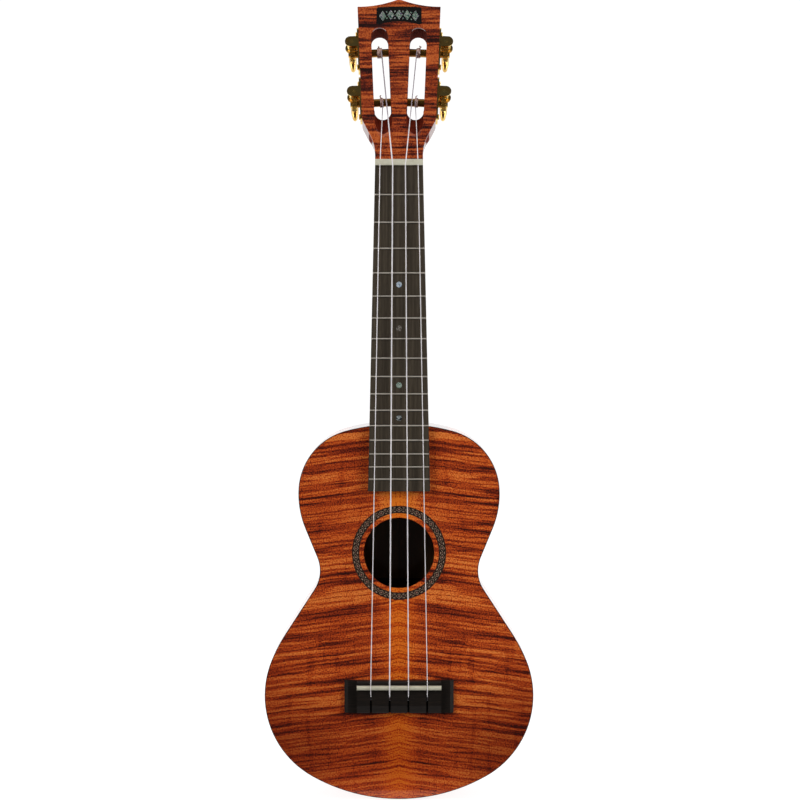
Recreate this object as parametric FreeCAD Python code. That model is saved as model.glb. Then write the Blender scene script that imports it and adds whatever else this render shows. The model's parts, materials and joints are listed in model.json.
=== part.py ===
"""Concert ukulele with a slotted headstock, as an assembly of separate pieces. Millimetres.

Frame: +X to the right as seen from the front, +Y from the soundboard to the back, +Z up along the neck.
The origin is on the centre line of the neck's glue plane, at the height where a wall hanger's two arms carry
the headstock's shoulders. Each function below makes one piece, or one group of alike pieces.
"""
import FreeCAD, Part
import math
import os

from FreeCAD import Placement, Rotation, Vector

# ---------------------------------------------------------------- driving dimensions
SCALE = 380.0                 # nut to saddle, without compensation
COMPENSATION = 2.5            # how much further back the saddle sits
HANGER_ABOVE_HEAD = 12.0      # origin above the line where the headstock breaks back
FRETS = 16
DOT_FRETS = (5, 7, 10, 12)

# nut and fingerboard
NUT_LENGTH, NUT_WIDTH, NUT_HEIGHT, NUT_LEVEL, NUT_SLOPE = 4.6, 35.0, 7.3, 0.9, 21.0
BOARD_THICK, BOARD_END_WIDTH, BOARD_OVERHANG = 5.5, 45.6, 9.0
FRET_WIDTH, FRET_HEIGHT, TANG_WIDTH, TANG_DEPTH = 1.7, 0.9, 0.5, 1.8
FRET_END_BEVEL = 32.0         # degrees from upright
DOT_RADIUS, DOT_THICK = 2.1, 1.0

# body outline: a chain of tangent arcs from the neck round to the tail, as (radius, degrees)
SHOULDER_TOP = (152.0, 15.0)
SHOULDER = (46.8, 71.2)
UPPER_BOUT = (66.5, 26.2)
UPPER_FLANK = 23.2            # straight run into the waist
WAIST = (25.6, 55.4)
LOWER_FLANK_TURN = (120.4, 10.8)
LOWER_BOUT = (68.7, 82.7)
TAIL_RADIUS = 130.6
BODY_BELOW_NUT = 189.0
BODY_DEPTH = 64.0
PLATE_THICK, SIDE_THICK, EDGE_ROUND = 2.0, 1.8, 0.8
SOUNDHOLE_RADIUS, SOUNDHOLE_BELOW_NUT = 26.0, 284.0
ROSETTE_INNER, ROSETTE_OUTER, ROSETTE_THICK = 29.3, 34.7, 1.0

# inside the body
NECK_BLOCK_WIDTH, NECK_BLOCK_LENGTH = 46.0, 22.0
TAIL_BLOCK_WIDTH, TAIL_BLOCK_LENGTH = 50.0, 11.0
LINING_WIDTH, LINING_HEIGHT = 5.0, 8.0
BRACE_WIDTH, BRACE_HEIGHT = 8.0, 7.0
FAN_WIDTH, FAN_HEIGHT = 5.0, 5.0
BOLT_RADIUS, BOLT_HEAD_RADIUS, BOLT_HEAD_HEIGHT, BOLT_DEPTH, BOLT_IN_HEEL = 2.5, 4.5, 4.0, 30.0, 8.0
SOCKET_RADIUS, SOCKET_DEPTH = 2.2, 2.4
BRIDGE_PATCH_HALF, PATCH_THICK, PATCH_BEHIND, PATCH_AHEAD = 46.0, 1.8, 18.0, 8.0

# bridge and saddle
BRIDGE_LENGTH, BRIDGE_BLOCK = 80.5, 62.0
BRIDGE_AHEAD, BRIDGE_BEHIND = 4.7, 19.2       # from the saddle's centre
BRIDGE_HEIGHT, WING_HEIGHT, WING_TIP_HEIGHT = 7.8, 3.6, 2.2
BRIDGE_REAR_HEIGHT, BRIDGE_STEP, BRIDGE_EASE, WING_BEVEL = 5.2, 13.4, 1.4, 2.6
SADDLE_THICK, SADDLE_TOP, SADDLE_SLOT_DEPTH = 3.2, 10.8, 3.4
STRING_SLOT_WIDTH, STRING_SLOT_START, STRING_SLOT_FLOOR = 1.4, 4.4, 1.6
STRING_DIVE = 6.6             # behind the saddle, where a string goes down into its slot
KNOT_RADIUS, KNOT_BEHIND, KNOT_HEIGHT = 1.35, 9.0, 3.2
KNOT_POCKET_RADIUS, KNOT_POCKET_START = 1.7, 7.3

# neck
NECK_DEPTH_NUT, NECK_DEPTH_HEEL = 13.6, 15.8
HEEL_EXTRA, HEEL_REACH, HEEL_POWER = 60.0, 16.5, 2.3
HEEL_TOP, HEEL_STEP = 50.0, 5.0

# headstock, in its own plane: s runs up the face from the break line, depth runs back from the core's face
HEAD_ANGLE = 16.0
HEAD_CORE, VENEER = 16.7, 1.3
HEAD_LENGTH, CROWN_RISE = 120.6, 5.8
HEAD_TOP_HALF, HEAD_TAPER = 31.0, 2.4         # half width at the top corners, degrees of each side
SHOULDER_S, FLARE_ANGLE = 32.6, 26.0          # where the sides turn in, and how steeply they run to the nut
SHOULDER_RADIUS, FLARE_RADIUS = 8.0, 34.0
CROWN_SAG, PEAK_HALF, PEAK_ROUND = 1.4, 2.0, 0.35
SLOT_BOTTOM, SLOT_TOP, SLOT_WIDTH, SLOT_CENTRE = 33.0, 103.7, 12.5, 11.8
RAMP_START, RAMP_ANGLE, RAMP_RADIUS, RAMP_RUN = 16.8, 22.0, 7.5, 60.0
CREST_S, CREST_WIDTH, CREST_HEIGHT, CREST_THICK = 105.7, 33.6, 15.2, 0.6
CREST_FOOT_RISE, CREST_TOP_RISE, CREST_ROUND = 3.0, 0.8, 1.6
CREST_LOZENGES, LOZENGE_PITCH, LOZENGE_HALF, LOZENGE_LONG = 5, 6.1, 2.7, 4.4
CREST_DOT = 0.65

# strings, left to right from the front: diameter, x at the nut and at the saddle, tuner, how far out it
# leaves its roller
STRINGS = (
    ("string_g", 0.62, -13.9, -20.65, "lower_left", 11.9),
    ("string_c", 0.92, -4.63, -6.88, "upper_left", 13.1),
    ("string_e", 0.76, 4.63, 6.88, "upper_right", 13.3),
    ("string_a", 0.58, 13.9, 20.65, "lower_right", 12.0),
)
STRING_GAP = 0.03             # between a string and what it lies on
SLOT_BEND, NUT_BEND = 1.6, 3.0
NUT_STRING_DEPTH = 7.35       # string centre in front of the glue plane at the nut

# tuning machines, in the plate's own frame: X out of the headstock's side, Y back, Z up along the side
TUNER_S = {"lower": 47.0, "upper": 86.6}
ROLLER_DEPTH = 7.7            # roller axis behind the core's face
PLATE_BELOW, PLATE_ABOVE, PLATE_WIDTH, PLATE_T = 14.5, 18.8, 14.0, 1.2
PLATE_SCREWS = (-10.6, 15.4)
SCREW_HEAD_R, SCREW_HEAD_H, SCREW_R, SCREW_LENGTH = 2.1, 1.1, 1.0, 8.0
WORM_OUT = 5.2                # worm axis out from the side
MODULE, TEETH = 0.7, 14
WORM_PITCH_R, ADDENDUM, DEDENDUM = 2.6, 0.6, 0.8
TOOTH_SLACK = 0.10            # taken off each side of every tooth at the pitch line
FLANK = 20.0                  # degrees
GEAR_THICK = 3.4
LUG_T, LUG_HALF, LUG_OUT = 1.2, 4.0, 10.4
SHAFT_R, SHAFT_BEHIND = 1.5, 22.0
BUTTON_START, BUTTON_LENGTH, BUTTON_HALF, BUTTON_THICK, BUTTON_TIP = 19.8, 13.6, 10.3, 5.6, 4.0
STEM_R, STEM_LENGTH, STEM_IN = 2.7, 4.6, 2.2
ROLLER_R, SPIGOT_R, RUNNING = 3.0, 1.9, 0.05
ROLLER_IN_SPINE = 3.6
GEAR_SCREW_HEAD_R, GEAR_SCREW_HEAD_H, GEAR_SCREW_R, GEAR_SCREW_LENGTH = 2.7, 1.3, 1.1, 7.0
WINDING_TURNS = 4

# ---------------------------------------------------------------- worked out from these
HEAD_Z = -HANGER_ABOVE_HEAD
NUT_Z = HEAD_Z - NUT_LENGTH
BOARD_END_Z = NUT_Z - SCALE * (1 - 2 ** (-FRETS / 12)) - BOARD_OVERHANG
BODY_Z = NUT_Z - BODY_BELOW_NUT
SOUNDHOLE_Z = NUT_Z - SOUNDHOLE_BELOW_NUT
SADDLE_Z = NUT_Z - SCALE - COMPENSATION
PITCH = math.pi * MODULE
GEAR_PITCH_R = MODULE * TEETH / 2
CENTRES = GEAR_PITCH_R + WORM_PITCH_R
LEAD = math.atan(MODULE / (2 * WORM_PITCH_R))
SLOPE = math.tan(math.radians(HEAD_TAPER))
BIG = 400.0


def tan_deg(a):
    return math.tan(math.radians(a))


def fret_z(n):
    return NUT_Z - SCALE * (1 - 2 ** (-n / 12))


def board_half(z):
    share = (NUT_Z - z) / (NUT_Z - BOARD_END_Z)
    return (NUT_WIDTH + (BOARD_END_WIDTH - NUT_WIDTH) * share) / 2


def box(x0, x1, y0, y1, z0, z1):
    return Part.makeBox(x1 - x0, y1 - y0, z1 - z0, Vector(x0, y0, z0))


def cylinder(radius, length, start, direction):
    return Part.makeCylinder(radius, length, start, direction)


def side_prism(x0, x1, outline):
    """A solid between x0 and x1 whose outline is given as (y, z) corners."""
    return prism([Vector(x0, y, z) for y, z in outline], Vector(x1 - x0, 0, 0))


def prism(points, direction):
    """A solid of straight-sided outline, pushed along direction."""
    return Part.Face(Part.makePolygon(points + points[:1])).extrude(direction)


def arc(a, middle, b):
    return Part.Arc(a, middle, b).toShape()


def solid_of(shape):
    """The shape's solids as one shape that exports cleanly."""
    solids = shape.Solids
    return solids[0] if len(solids) == 1 else Part.makeCompound(solids)


# ---------------------------------------------------------------- body outline
def chain():
    """The outline's right half as (kind, x, d, heading, size, turn, side), with d down from the top edge."""
    def walk(lower_flank):
        steps = (
            ("arc", *SHOULDER_TOP, 1), ("arc", *SHOULDER, 1), ("arc", *UPPER_BOUT, 1),
            ("line", UPPER_FLANK, 0, 0), ("arc", *WAIST, -1), ("line", lower_flank, 0, 0),
            ("arc", *LOWER_FLANK_TURN, 1), ("arc", *LOWER_BOUT, 1), ("arc", TAIL_RADIUS, None, 1),
        )
        x = d = heading = 0.0
        made = []
        for kind, size, degrees, side in steps:
            if kind == "line":
                made.append((kind, x, d, heading, size, 0.0, 0))
                x, d = x + size * math.cos(heading), d + size * math.sin(heading)
                continue
            turn = side * (math.radians(degrees) if degrees is not None else math.pi - heading)
            made.append((kind, x, d, heading, size, turn, side))
            cx, cd = x - side * size * math.sin(heading), d + side * size * math.cos(heading)
            heading += turn
            x, d = cx + side * size * math.sin(heading), cd - side * size * math.cos(heading)
        return made, x, d

    open_chain, gap, _ = walk(0.0)
    flank_heading = open_chain[5][3]
    made, _, length = walk(-gap / math.cos(flank_heading))
    return made, length


OUTLINE, BODY_LENGTH = chain()
TAIL_Z = BODY_Z - BODY_LENGTH


def outline_face(inset, y):
    """The body's outline, moved inwards by inset, as a flat face at depth y."""
    right = []
    for kind, x, d, heading, size, turn, side in OUTLINE:
        if kind == "line":
            def at(t, x=x, d=d, heading=heading, size=size):
                along = t * size
                return (x + along * math.cos(heading) - inset * math.sin(heading),
                        d + along * math.sin(heading) + inset * math.cos(heading))
        else:
            def at(t, x=x, d=d, heading=heading, size=size, turn=turn, side=side):
                cx, cd = x - side * size * math.sin(heading), d + side * size * math.cos(heading)
                h, r = heading + t * turn, size - side * inset
                return cx + side * r * math.sin(h), cd - side * r * math.cos(h)
        right.append((kind, [at(t) for t in (0.0, 0.5, 1.0)]))
    edges = []
    for mirror in (1, -1):
        for kind, places in right:
            a, middle, b = (Vector(mirror * px, y, BODY_Z - pd) for px, pd in places)
            if kind == right[0][0] and places is right[0][1]:
                a.x = 0.0
            if places is right[-1][1]:
                b.x = 0.0
            edges.append(Part.makeLine(a, b) if kind == "line" else arc(a, middle, b))
    return Part.Face(Part.Wire(Part.__sortEdges__(edges)))


def outline_slab(inset, y0, y1):
    return outline_face(inset, y0).extrude(Vector(0, y1 - y0, 0))


def outline_ring(outer, inner, y0, y1):
    return outline_slab(outer, y0, y1).cut(outline_slab(inner, y0, y1))


def half_space(side):
    x0, x1 = (0, BIG) if side > 0 else (-BIG, 0)
    return box(x0, x1, -BIG, BIG, -2 * BIG, BIG)


# ---------------------------------------------------------------- body
def soundboard():
    plate = outline_slab(0, 0, PLATE_THICK)
    centre = Vector(0, -1, SOUNDHOLE_Z)
    plate = rounded_rim(plate, 0).cut(cylinder(SOUNDHOLE_RADIUS, PLATE_THICK + 2, centre, Vector(0, 1, 0)))
    return plate.cut(ring(ROSETTE_OUTER, ROSETTE_INNER, ROSETTE_THICK))


def rounded_rim(plate, y):
    """The plate with the outer edge at depth y rounded over."""
    rim = [e for e in plate.Edges if abs(e.BoundBox.YMin - y) < 0.01 and e.BoundBox.YLength < 0.01]
    return plate.makeFillet(EDGE_ROUND, rim)


def ring(outer, inner, depth):
    start, back = Vector(0, 0, SOUNDHOLE_Z), Vector(0, 1, 0)
    return cylinder(outer, depth, start, back).cut(cylinder(inner, depth, start, back))


def rosette():
    return ring(ROSETTE_OUTER, ROSETTE_INNER, ROSETTE_THICK)


def back_plate():
    return rounded_rim(outline_slab(0, BODY_DEPTH - PLATE_THICK, BODY_DEPTH), BODY_DEPTH)


def neck_bolt_hole(radius):
    return cylinder(radius, 80, Vector(0, BOLT_DEPTH, BODY_Z - 60), Vector(0, 0, 1))


def side(which):
    rib = outline_ring(0, SIDE_THICK, PLATE_THICK, BODY_DEPTH - PLATE_THICK)
    return rib.common(half_space(which)).cut(neck_bolt_hole(BOLT_RADIUS))


def neck_block_box():
    return box(-NECK_BLOCK_WIDTH / 2, NECK_BLOCK_WIDTH / 2, PLATE_THICK, BODY_DEPTH - PLATE_THICK,
               BODY_Z - NECK_BLOCK_LENGTH, BODY_Z + 5)


def tail_block_box():
    return box(-TAIL_BLOCK_WIDTH / 2, TAIL_BLOCK_WIDTH / 2, PLATE_THICK, BODY_DEPTH - PLATE_THICK,
               TAIL_Z - 5, TAIL_Z + TAIL_BLOCK_LENGTH)


def inside():
    return outline_slab(SIDE_THICK, PLATE_THICK, BODY_DEPTH - PLATE_THICK)


def neck_block():
    return neck_block_box().common(inside()).cut(neck_bolt_hole(BOLT_RADIUS))


def tail_block():
    return tail_block_box().common(inside())


def lining(which, front):
    y0 = PLATE_THICK if front else BODY_DEPTH - PLATE_THICK - LINING_HEIGHT
    strip = outline_ring(SIDE_THICK, SIDE_THICK + LINING_WIDTH, y0, y0 + LINING_HEIGHT)
    return strip.common(half_space(which)).cut(neck_block_box()).cut(tail_block_box())


def between_linings(y0, y1):
    return outline_slab(SIDE_THICK + LINING_WIDTH, y0, y1)


def cross_brace(z, front):
    """A brace across the body. Its free edge is narrower, as if planed to a crown."""
    foot, crown = BRACE_WIDTH / 2, BRACE_WIDTH / 4
    y0, y1 = PLATE_THICK, PLATE_THICK + BRACE_HEIGHT
    if not front:
        y0, y1 = BODY_DEPTH - PLATE_THICK, BODY_DEPTH - PLATE_THICK - BRACE_HEIGHT
    shape = prism([Vector(-BIG, y0, z - foot), Vector(-BIG, y0, z + foot), Vector(-BIG, y1, z + crown),
                   Vector(-BIG, y1, z - crown)], Vector(2 * BIG, 0, 0))
    return shape.common(between_linings(min(y0, y1), max(y0, y1)))


def bridge_patch():
    return box(-BRIDGE_PATCH_HALF, BRIDGE_PATCH_HALF, PLATE_THICK, PLATE_THICK + PATCH_THICK,
               SADDLE_Z - PATCH_BEHIND, SADDLE_Z + PATCH_AHEAD)


def soundboard_braces():
    upper = SOUNDHOLE_Z + SOUNDHOLE_RADIUS + 1.3 * BRACE_WIDTH
    lower = SOUNDHOLE_Z - SOUNDHOLE_RADIUS - 1.3 * BRACE_WIDTH
    made = [cross_brace(upper, True), cross_brace(lower, True)]
    fan_top, fan_bottom = lower - BRACE_WIDTH / 2, TAIL_Z + TAIL_BLOCK_LENGTH + 6
    for lean in (-1, 0, 1):
        x0, x1, half = 14.0 * lean, 34.0 * lean, FAN_WIDTH / 2
        fan = prism([Vector(x0 - half, PLATE_THICK, fan_top), Vector(x0 + half, PLATE_THICK, fan_top),
                     Vector(x1 + half, PLATE_THICK, fan_bottom), Vector(x1 - half, PLATE_THICK, fan_bottom)],
                    Vector(0, FAN_HEIGHT, 0))
        made.append(fan.common(between_linings(PLATE_THICK, PLATE_THICK + FAN_HEIGHT)).cut(bridge_patch()))
    return Part.makeCompound([s for m in made for s in m.Solids])


def back_braces():
    return Part.makeCompound([cross_brace(z, False) for z in (BODY_Z - 62, SOUNDHOLE_Z - 30, SADDLE_Z - 6)])


def neck_bolt():
    """A bolt with a hexagon socket, up through the neck block into the heel."""
    under, up = BODY_Z - NECK_BLOCK_LENGTH, Vector(0, 0, 1)
    bottom = Vector(0, BOLT_DEPTH, under - BOLT_HEAD_HEIGHT)
    head = cylinder(BOLT_HEAD_RADIUS, BOLT_HEAD_HEIGHT, bottom, up)
    corners = [math.radians(60 * k) for k in range(6)]
    hexagon = [bottom + Vector(SOCKET_RADIUS * math.cos(a), SOCKET_RADIUS * math.sin(a), 0) for a in corners]
    shank = cylinder(BOLT_RADIUS, NECK_BLOCK_LENGTH + BOLT_IN_HEEL, Vector(0, BOLT_DEPTH, under), up)
    return head.fuse(shank).removeSplitter().cut(prism(hexagon, Vector(0, 0, SOCKET_DEPTH)))


# ---------------------------------------------------------------- bridge, saddle, nut, fingerboard
def bridge():
    """A raised block between two lower wings, slotted for the saddle, slotted and bored for each string."""
    front, rear = SADDLE_Z + BRIDGE_AHEAD, SADDLE_Z - BRIDGE_BEHIND
    half, block = BRIDGE_LENGTH / 2, BRIDGE_BLOCK / 2
    body = side_prism(-block, block, (
        (0, rear), (0, front), (-BRIDGE_HEIGHT + BRIDGE_EASE, front), (-BRIDGE_HEIGHT, front - BRIDGE_EASE),
        (-BRIDGE_HEIGHT, SADDLE_Z - BRIDGE_STEP), (-BRIDGE_REAR_HEIGHT, rear + BRIDGE_EASE / 2),
        (-BRIDGE_REAR_HEIGHT + BRIDGE_EASE / 2, rear)))
    inner = half - WING_BEVEL
    wings = prism([Vector(-half, 0, rear), Vector(half, 0, rear), Vector(half, -WING_TIP_HEIGHT, rear),
                   Vector(inner, -WING_HEIGHT, rear), Vector(-inner, -WING_HEIGHT, rear),
                   Vector(-half, -WING_TIP_HEIGHT, rear)], Vector(0, 0, front - rear))
    made = body.fuse(wings).removeSplitter()
    made = made.cut(box(-block, block, -BIG, -BRIDGE_HEIGHT + SADDLE_SLOT_DEPTH,
                        SADDLE_Z - SADDLE_THICK / 2, SADDLE_Z + SADDLE_THICK / 2))
    bore = BRIDGE_BEHIND - KNOT_POCKET_START
    for string in STRINGS:
        x = string[3]
        made = made.cut(box(x - STRING_SLOT_WIDTH / 2, x + STRING_SLOT_WIDTH / 2, -BIG, -STRING_SLOT_FLOOR,
                            rear - 1, SADDLE_Z - STRING_SLOT_START))
        pocket = Vector(x, -KNOT_HEIGHT, rear - 1)
        made = made.cut(cylinder(KNOT_POCKET_RADIUS, bore + 1, pocket, Vector(0, 0, 1)))
    return made


def saddle():
    half, t = BRIDGE_BLOCK / 2, SADDLE_THICK / 2
    foot, shoulder = -BRIDGE_HEIGHT + SADDLE_SLOT_DEPTH, -SADDLE_TOP + t
    edges = [
        Part.makeLine(Vector(-half, foot, SADDLE_Z - t), Vector(-half, foot, SADDLE_Z + t)),
        Part.makeLine(Vector(-half, foot, SADDLE_Z + t), Vector(-half, shoulder, SADDLE_Z + t)),
        arc(Vector(-half, shoulder, SADDLE_Z + t), Vector(-half, -SADDLE_TOP, SADDLE_Z),
            Vector(-half, shoulder, SADDLE_Z - t)),
        Part.makeLine(Vector(-half, shoulder, SADDLE_Z - t), Vector(-half, foot, SADDLE_Z - t)),
    ]
    return Part.Face(Part.Wire(edges)).extrude(Vector(2 * half, 0, 0))


def nut():
    """The nut, its top sloping down towards the headstock, with a round-bottomed slot for each string."""
    back = NUT_Z + NUT_LENGTH
    made = side_prism(-NUT_WIDTH / 2, NUT_WIDTH / 2, (
        (0, NUT_Z), (-NUT_HEIGHT, NUT_Z), (-NUT_HEIGHT, NUT_Z + NUT_LEVEL),
        (-NUT_HEIGHT + NUT_LENGTH * tan_deg(NUT_SLOPE), back), (0, back)))
    for string in STRINGS:
        made = made.cut(string_tube(string, string[1] / 2 + STRING_GAP))
    return made


def fingerboard():
    made = prism([Vector(-NUT_WIDTH / 2, 0, NUT_Z), Vector(NUT_WIDTH / 2, 0, NUT_Z),
                  Vector(BOARD_END_WIDTH / 2, 0, BOARD_END_Z), Vector(-BOARD_END_WIDTH / 2, 0, BOARD_END_Z)],
                 Vector(0, -BOARD_THICK, 0))
    for n in range(1, FRETS + 1):
        made = made.cut(box(-BIG, BIG, -BOARD_THICK - 1, -BOARD_THICK + TANG_DEPTH,
                            fret_z(n) - TANG_WIDTH / 2, fret_z(n) + TANG_WIDTH / 2))
    return made.cut(position_dots())


def fret(n):
    """A half-round crown on a thin tang, its ends bevelled to the fingerboard's edges."""
    z, half, top = fret_z(n), board_half(fret_z(n)), -BOARD_THICK
    low, high = z - FRET_WIDTH / 2, z + FRET_WIDTH / 2
    crown = Part.Face(Part.Wire([
        arc(Vector(-half, top, high), Vector(-half, top - FRET_HEIGHT, z), Vector(-half, top, low)),
        Part.makeLine(Vector(-half, top, low), Vector(-half, top, high)),
    ])).extrude(Vector(2 * half, 0, 0))
    tang = box(-half, half, top, top + TANG_DEPTH, z - TANG_WIDTH / 2, z + TANG_WIDTH / 2)
    wire = crown.fuse(tang).removeSplitter()
    lean = FRET_HEIGHT * tan_deg(FRET_END_BEVEL)
    for side_x in (-half, half):
        inward = -math.copysign(lean, side_x)
        past = side_x - 2 * inward
        wire = wire.cut(prism([Vector(side_x, top, low), Vector(side_x + inward, top - FRET_HEIGHT, low),
                               Vector(past, top - FRET_HEIGHT, low), Vector(past, top, low)],
                              Vector(0, 0, FRET_WIDTH)))
    return wire


def frets():
    return Part.makeCompound([solid_of(fret(n)) for n in range(1, FRETS + 1)])


def position_dots():
    made = []
    for n in DOT_FRETS:
        middle = (fret_z(n) + fret_z(n - 1)) / 2
        made.append(cylinder(DOT_RADIUS, DOT_THICK, Vector(0, -BOARD_THICK, middle), Vector(0, 1, 0)))
    return Part.makeCompound(made)


# ---------------------------------------------------------------- neck and headstock
HEAD_PLACE = Placement(Vector(0, 0, HEAD_Z), Rotation(Vector(1, 0, 0), -HEAD_ANGLE))


def head_half(s):
    return HEAD_TOP_HALF - (HEAD_LENGTH - s) * SLOPE


def slot_centre(s):
    return SLOT_CENTRE + (s - SLOT_BOTTOM) * SLOPE


def head_outline(y):
    """The headstock's face, from the break line to the crown, as a flat face at depth y of its own frame."""
    nut_half, top = NUT_WIDTH / 2, HEAD_LENGTH
    tilt, lean = math.radians(HEAD_TAPER), math.radians(FLARE_ANGLE)
    corner, shoulder = Vector(HEAD_TOP_HALF, y, top), Vector(head_half(SHOULDER_S), y, SHOULDER_S)
    centre = shoulder + Vector(-SHOULDER_RADIUS * math.cos(tilt), 0, SHOULDER_RADIUS * math.sin(tilt))

    def on_shoulder(a):
        return centre + Vector(SHOULDER_RADIUS * math.cos(a), 0, -SHOULDER_RADIUS * math.sin(a))

    leave = on_shoulder(lean)
    flare_x = nut_half + FLARE_RADIUS * (1 - math.cos(lean))
    flare_s = leave.z - (leave.x - flare_x) / math.tan(lean)
    foot_s = flare_s - FLARE_RADIUS * math.sin(lean)

    def on_flare(a):
        return Vector(nut_half + FLARE_RADIUS * (1 - math.cos(a)), y, foot_s + FLARE_RADIUS * math.sin(a))

    peak = Vector(0, y, top + CROWN_RISE)
    near_peak = Vector(PEAK_HALF, y, top + CROWN_RISE - PEAK_ROUND)
    crown_mid = (corner + near_peak) * 0.5 - Vector(0, 0, CROWN_SAG)
    right = [
        Part.makeLine(Vector(nut_half, y, 0), on_flare(0)),
        arc(on_flare(0), on_flare(lean / 2), on_flare(lean)),
        Part.makeLine(on_flare(lean), leave),
        arc(leave, on_shoulder((lean + tilt) / 2), shoulder),
        Part.makeLine(shoulder, corner),
        arc(corner, crown_mid, near_peak),
    ]
    left = [e.mirror(Vector(0, 0, 0), Vector(1, 0, 0)) for e in right]
    base = Part.makeLine(Vector(-nut_half, y, 0), Vector(nut_half, y, 0))
    tip = arc(near_peak, peak, Vector(-PEAK_HALF, y, near_peak.z))
    return Part.Face(Part.Wire(Part.__sortEdges__(right + left + [base, tip])))


def string_ramp():
    """A round-bottomed ramp, no wider than the slot, from the face down to the slot's lower end."""
    half, top = SLOT_WIDTH / 2, SLOT_BOTTOM + SLOT_WIDTH / 2
    slope = math.radians(RAMP_ANGLE)
    down = Vector(0, math.sin(slope), math.cos(slope))
    out = Vector(0, -math.cos(slope), math.sin(slope))
    centre = slot_centre((RAMP_START + top) / 2)
    start = Vector(centre, -VENEER, RAMP_START) + out * RAMP_RADIUS - down * RAMP_RUN / 2
    groove = cylinder(RAMP_RADIUS, RAMP_RUN, start, down)
    return groove.common(box(centre - half, centre + half, -BIG, BIG, 0, top))


def slot_cutter(which):
    """A string slot right through the headstock, with its ramp towards the nut, in the headstock's frame."""
    w = SLOT_WIDTH / 2
    low, high = SLOT_BOTTOM + w, SLOT_TOP - w
    along = Vector(SLOPE, 0, 1).normalize()
    across = Vector(along.z, 0, -along.x)
    a, b = Vector(slot_centre(low), -5, low), Vector(slot_centre(high), -5, high)
    edges = [
        Part.makeLine(a + across * w, b + across * w),
        arc(b + across * w, b + along * w, b - across * w),
        Part.makeLine(b - across * w, a - across * w),
        arc(a - across * w, a - along * w, a + across * w),
    ]
    slot = Part.Face(Part.Wire(edges)).extrude(Vector(0, 40, 0))
    made = slot.fuse(string_ramp())
    return made if which > 0 else made.mirror(Vector(0, 0, 0), Vector(1, 0, 0))


def section(z, half, depth, power=2.0):
    """A neck section at height z: flat on the glue plane, rounded behind. power 2 is a half ellipse."""
    count = 12
    points = []
    for k in range(count + 1):
        a = math.pi * k / count
        c, s = math.cos(a), math.sin(a)
        x = half * math.copysign(abs(c) ** (2 / power), c)
        points.append(Vector(x, depth * abs(s) ** (2 / power), z))
    points[0], points[-1] = Vector(half, 0, z), Vector(-half, 0, z)
    curve = Part.BSplineCurve()
    curve.interpolate(points)
    return Part.Wire([curve.toShape(), Part.makeLine(points[-1], points[0])])


def neck_depth(above_body):
    share = above_body / BODY_BELOW_NUT
    shaft = NECK_DEPTH_HEEL + (NECK_DEPTH_NUT - NECK_DEPTH_HEEL) * share
    return shaft + HEEL_EXTRA * math.exp(-(max(above_body, 0) / HEEL_REACH) ** HEEL_POWER)


def shaft_section(above):
    return section(BODY_Z + above, min(board_half(BODY_Z + above), board_half(BODY_Z)), neck_depth(above))


def neck_shaft():
    """The straight shaft up to the headstock's break line."""
    return Part.makeLoft([shaft_section(HEEL_TOP), shaft_section(HEAD_Z - BODY_Z)], True, True)


def heel():
    """The heel, swelling from the shaft to the body's full depth."""
    heights = [HEEL_STEP * k for k in range(-1, round(HEEL_TOP / HEEL_STEP) + 1)]
    carved = Part.makeLoft([shaft_section(above) for above in heights], True, False)
    carved = carved.common(box(-BIG, BIG, 0, BODY_DEPTH, BODY_Z - HEEL_STEP, BIG))
    return carved.cut(outline_slab(0, -1, BIG))


def head_rounding():
    """What the headstock's lower end is carved to, so that it runs into the neck's round back."""
    half, depth = NUT_WIDTH / 2, NECK_DEPTH_NUT
    # height, how much wider and deeper than the shaft, and how square
    stages = ((-8, 0, -0.4, 2.0), (0, 0.3, -0.2, 2.0), (8, 3.0, 0.7, 2.2), (16, 9.0, 2.9, 2.6),
              (24, 16.0, 5.9, 3.2), (32, 23.0, 9.4, 3.8), (40, 30.0, 13.4, 4.4))
    sections = [section(s, half + wider, depth + deeper, power) for s, wider, deeper, power in stages]
    return Part.makeLoft(sections, True, False)


def roller_holes():
    made = []
    for which in TUNER_PLACES:
        hole = cylinder(ROLLER_R + RUNNING, roller_reach(which) + 0.6, Vector(0.5, 0, 0), Vector(-1, 0, 0))
        made.append(placed(hole, which))
        for z in PLATE_SCREWS:
            made.append(placed(cylinder(SCREW_R, SCREW_LENGTH, Vector(0, 0, z), Vector(-1, 0, 0)), which))
    return made


def neck():
    head = head_outline(0).extrude(Vector(0, HEAD_CORE, 0))
    split = Vector(0, 0, SHOULDER_S)
    lower = head.common(box(-BIG, BIG, -1, BIG, -1, split.z)).common(head_rounding())
    head = lower.fuse(head.common(box(-BIG, BIG, -1, BIG, split.z, BIG)))
    for which in (1, -1):
        head = head.cut(slot_cutter(which))
    head.Placement = HEAD_PLACE
    made = neck_shaft().fuse(heel()).fuse(head).removeSplitter()
    made = made.cut(neck_bolt_hole(BOLT_RADIUS).common(box(-9, 9, 0, BIG, BODY_Z - 9, BODY_Z + BOLT_IN_HEEL)))
    for hole in roller_holes():
        made = made.cut(hole)
    return made


def headstock_veneer():
    made = head_outline(-VENEER).extrude(Vector(0, VENEER, 0))
    for which in (1, -1):
        made = made.cut(slot_cutter(which))
    made = made.cut(crest_plate_local())
    made.Placement = HEAD_PLACE
    return made.cut(box(-BIG, BIG, -BIG, BIG, -BIG, HEAD_Z))


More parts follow.
